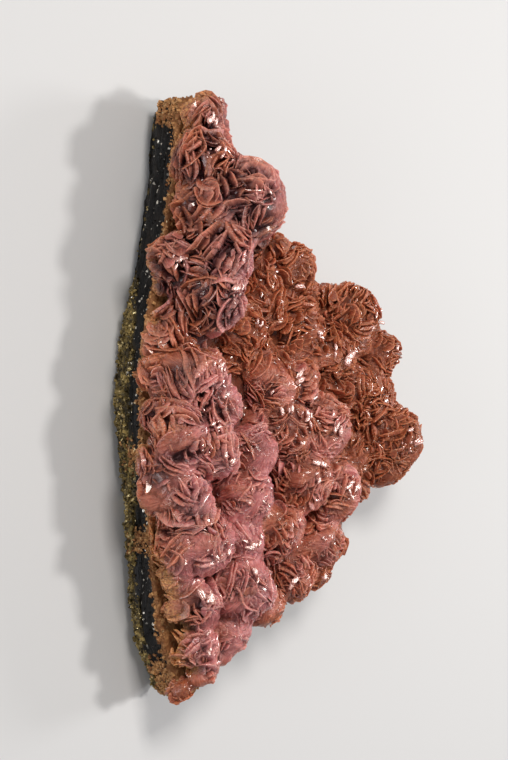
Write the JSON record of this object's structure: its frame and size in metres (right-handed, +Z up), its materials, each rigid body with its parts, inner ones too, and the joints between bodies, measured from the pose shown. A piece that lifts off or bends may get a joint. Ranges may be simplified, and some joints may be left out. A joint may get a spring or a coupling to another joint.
{
  "type": "rhodochrosite specimen",
  "caption": "Natural mineral specimen: a thin dark sulphide slab under a thick pelt of pink to orange-brown rhodochrosite rosettes, lying on its drusy back.",
  "frame": {"origin": "middle of the bounding box in plan, on the flat resting face of the back crust", "axes": "+Z up, away from the back, through the rosettes; +Y along the long broken edge; +X across the slab, from the long broken edge to the far side"},
  "size_m": [0.0572, 0.0938, 0.0215],
  "materials": {
    "olive_druse": "olive-brown druse with brassy sparkling grains",
    "black_sulphide": "black laminated, rough, with small glittering faces",
    "ochre_stain": "dull granular ochre iron stain",
    "rhodochrosite": "waxy to glassy, slightly translucent blades"
  },
  "bodies": {
    "root": {"back_crust": "olive_druse", "black_slab": "black_sulphide", "ochre_layer": "ochre_stain", "rhodochrosite": "rhodochrosite"}
  },
  "joints": []
}
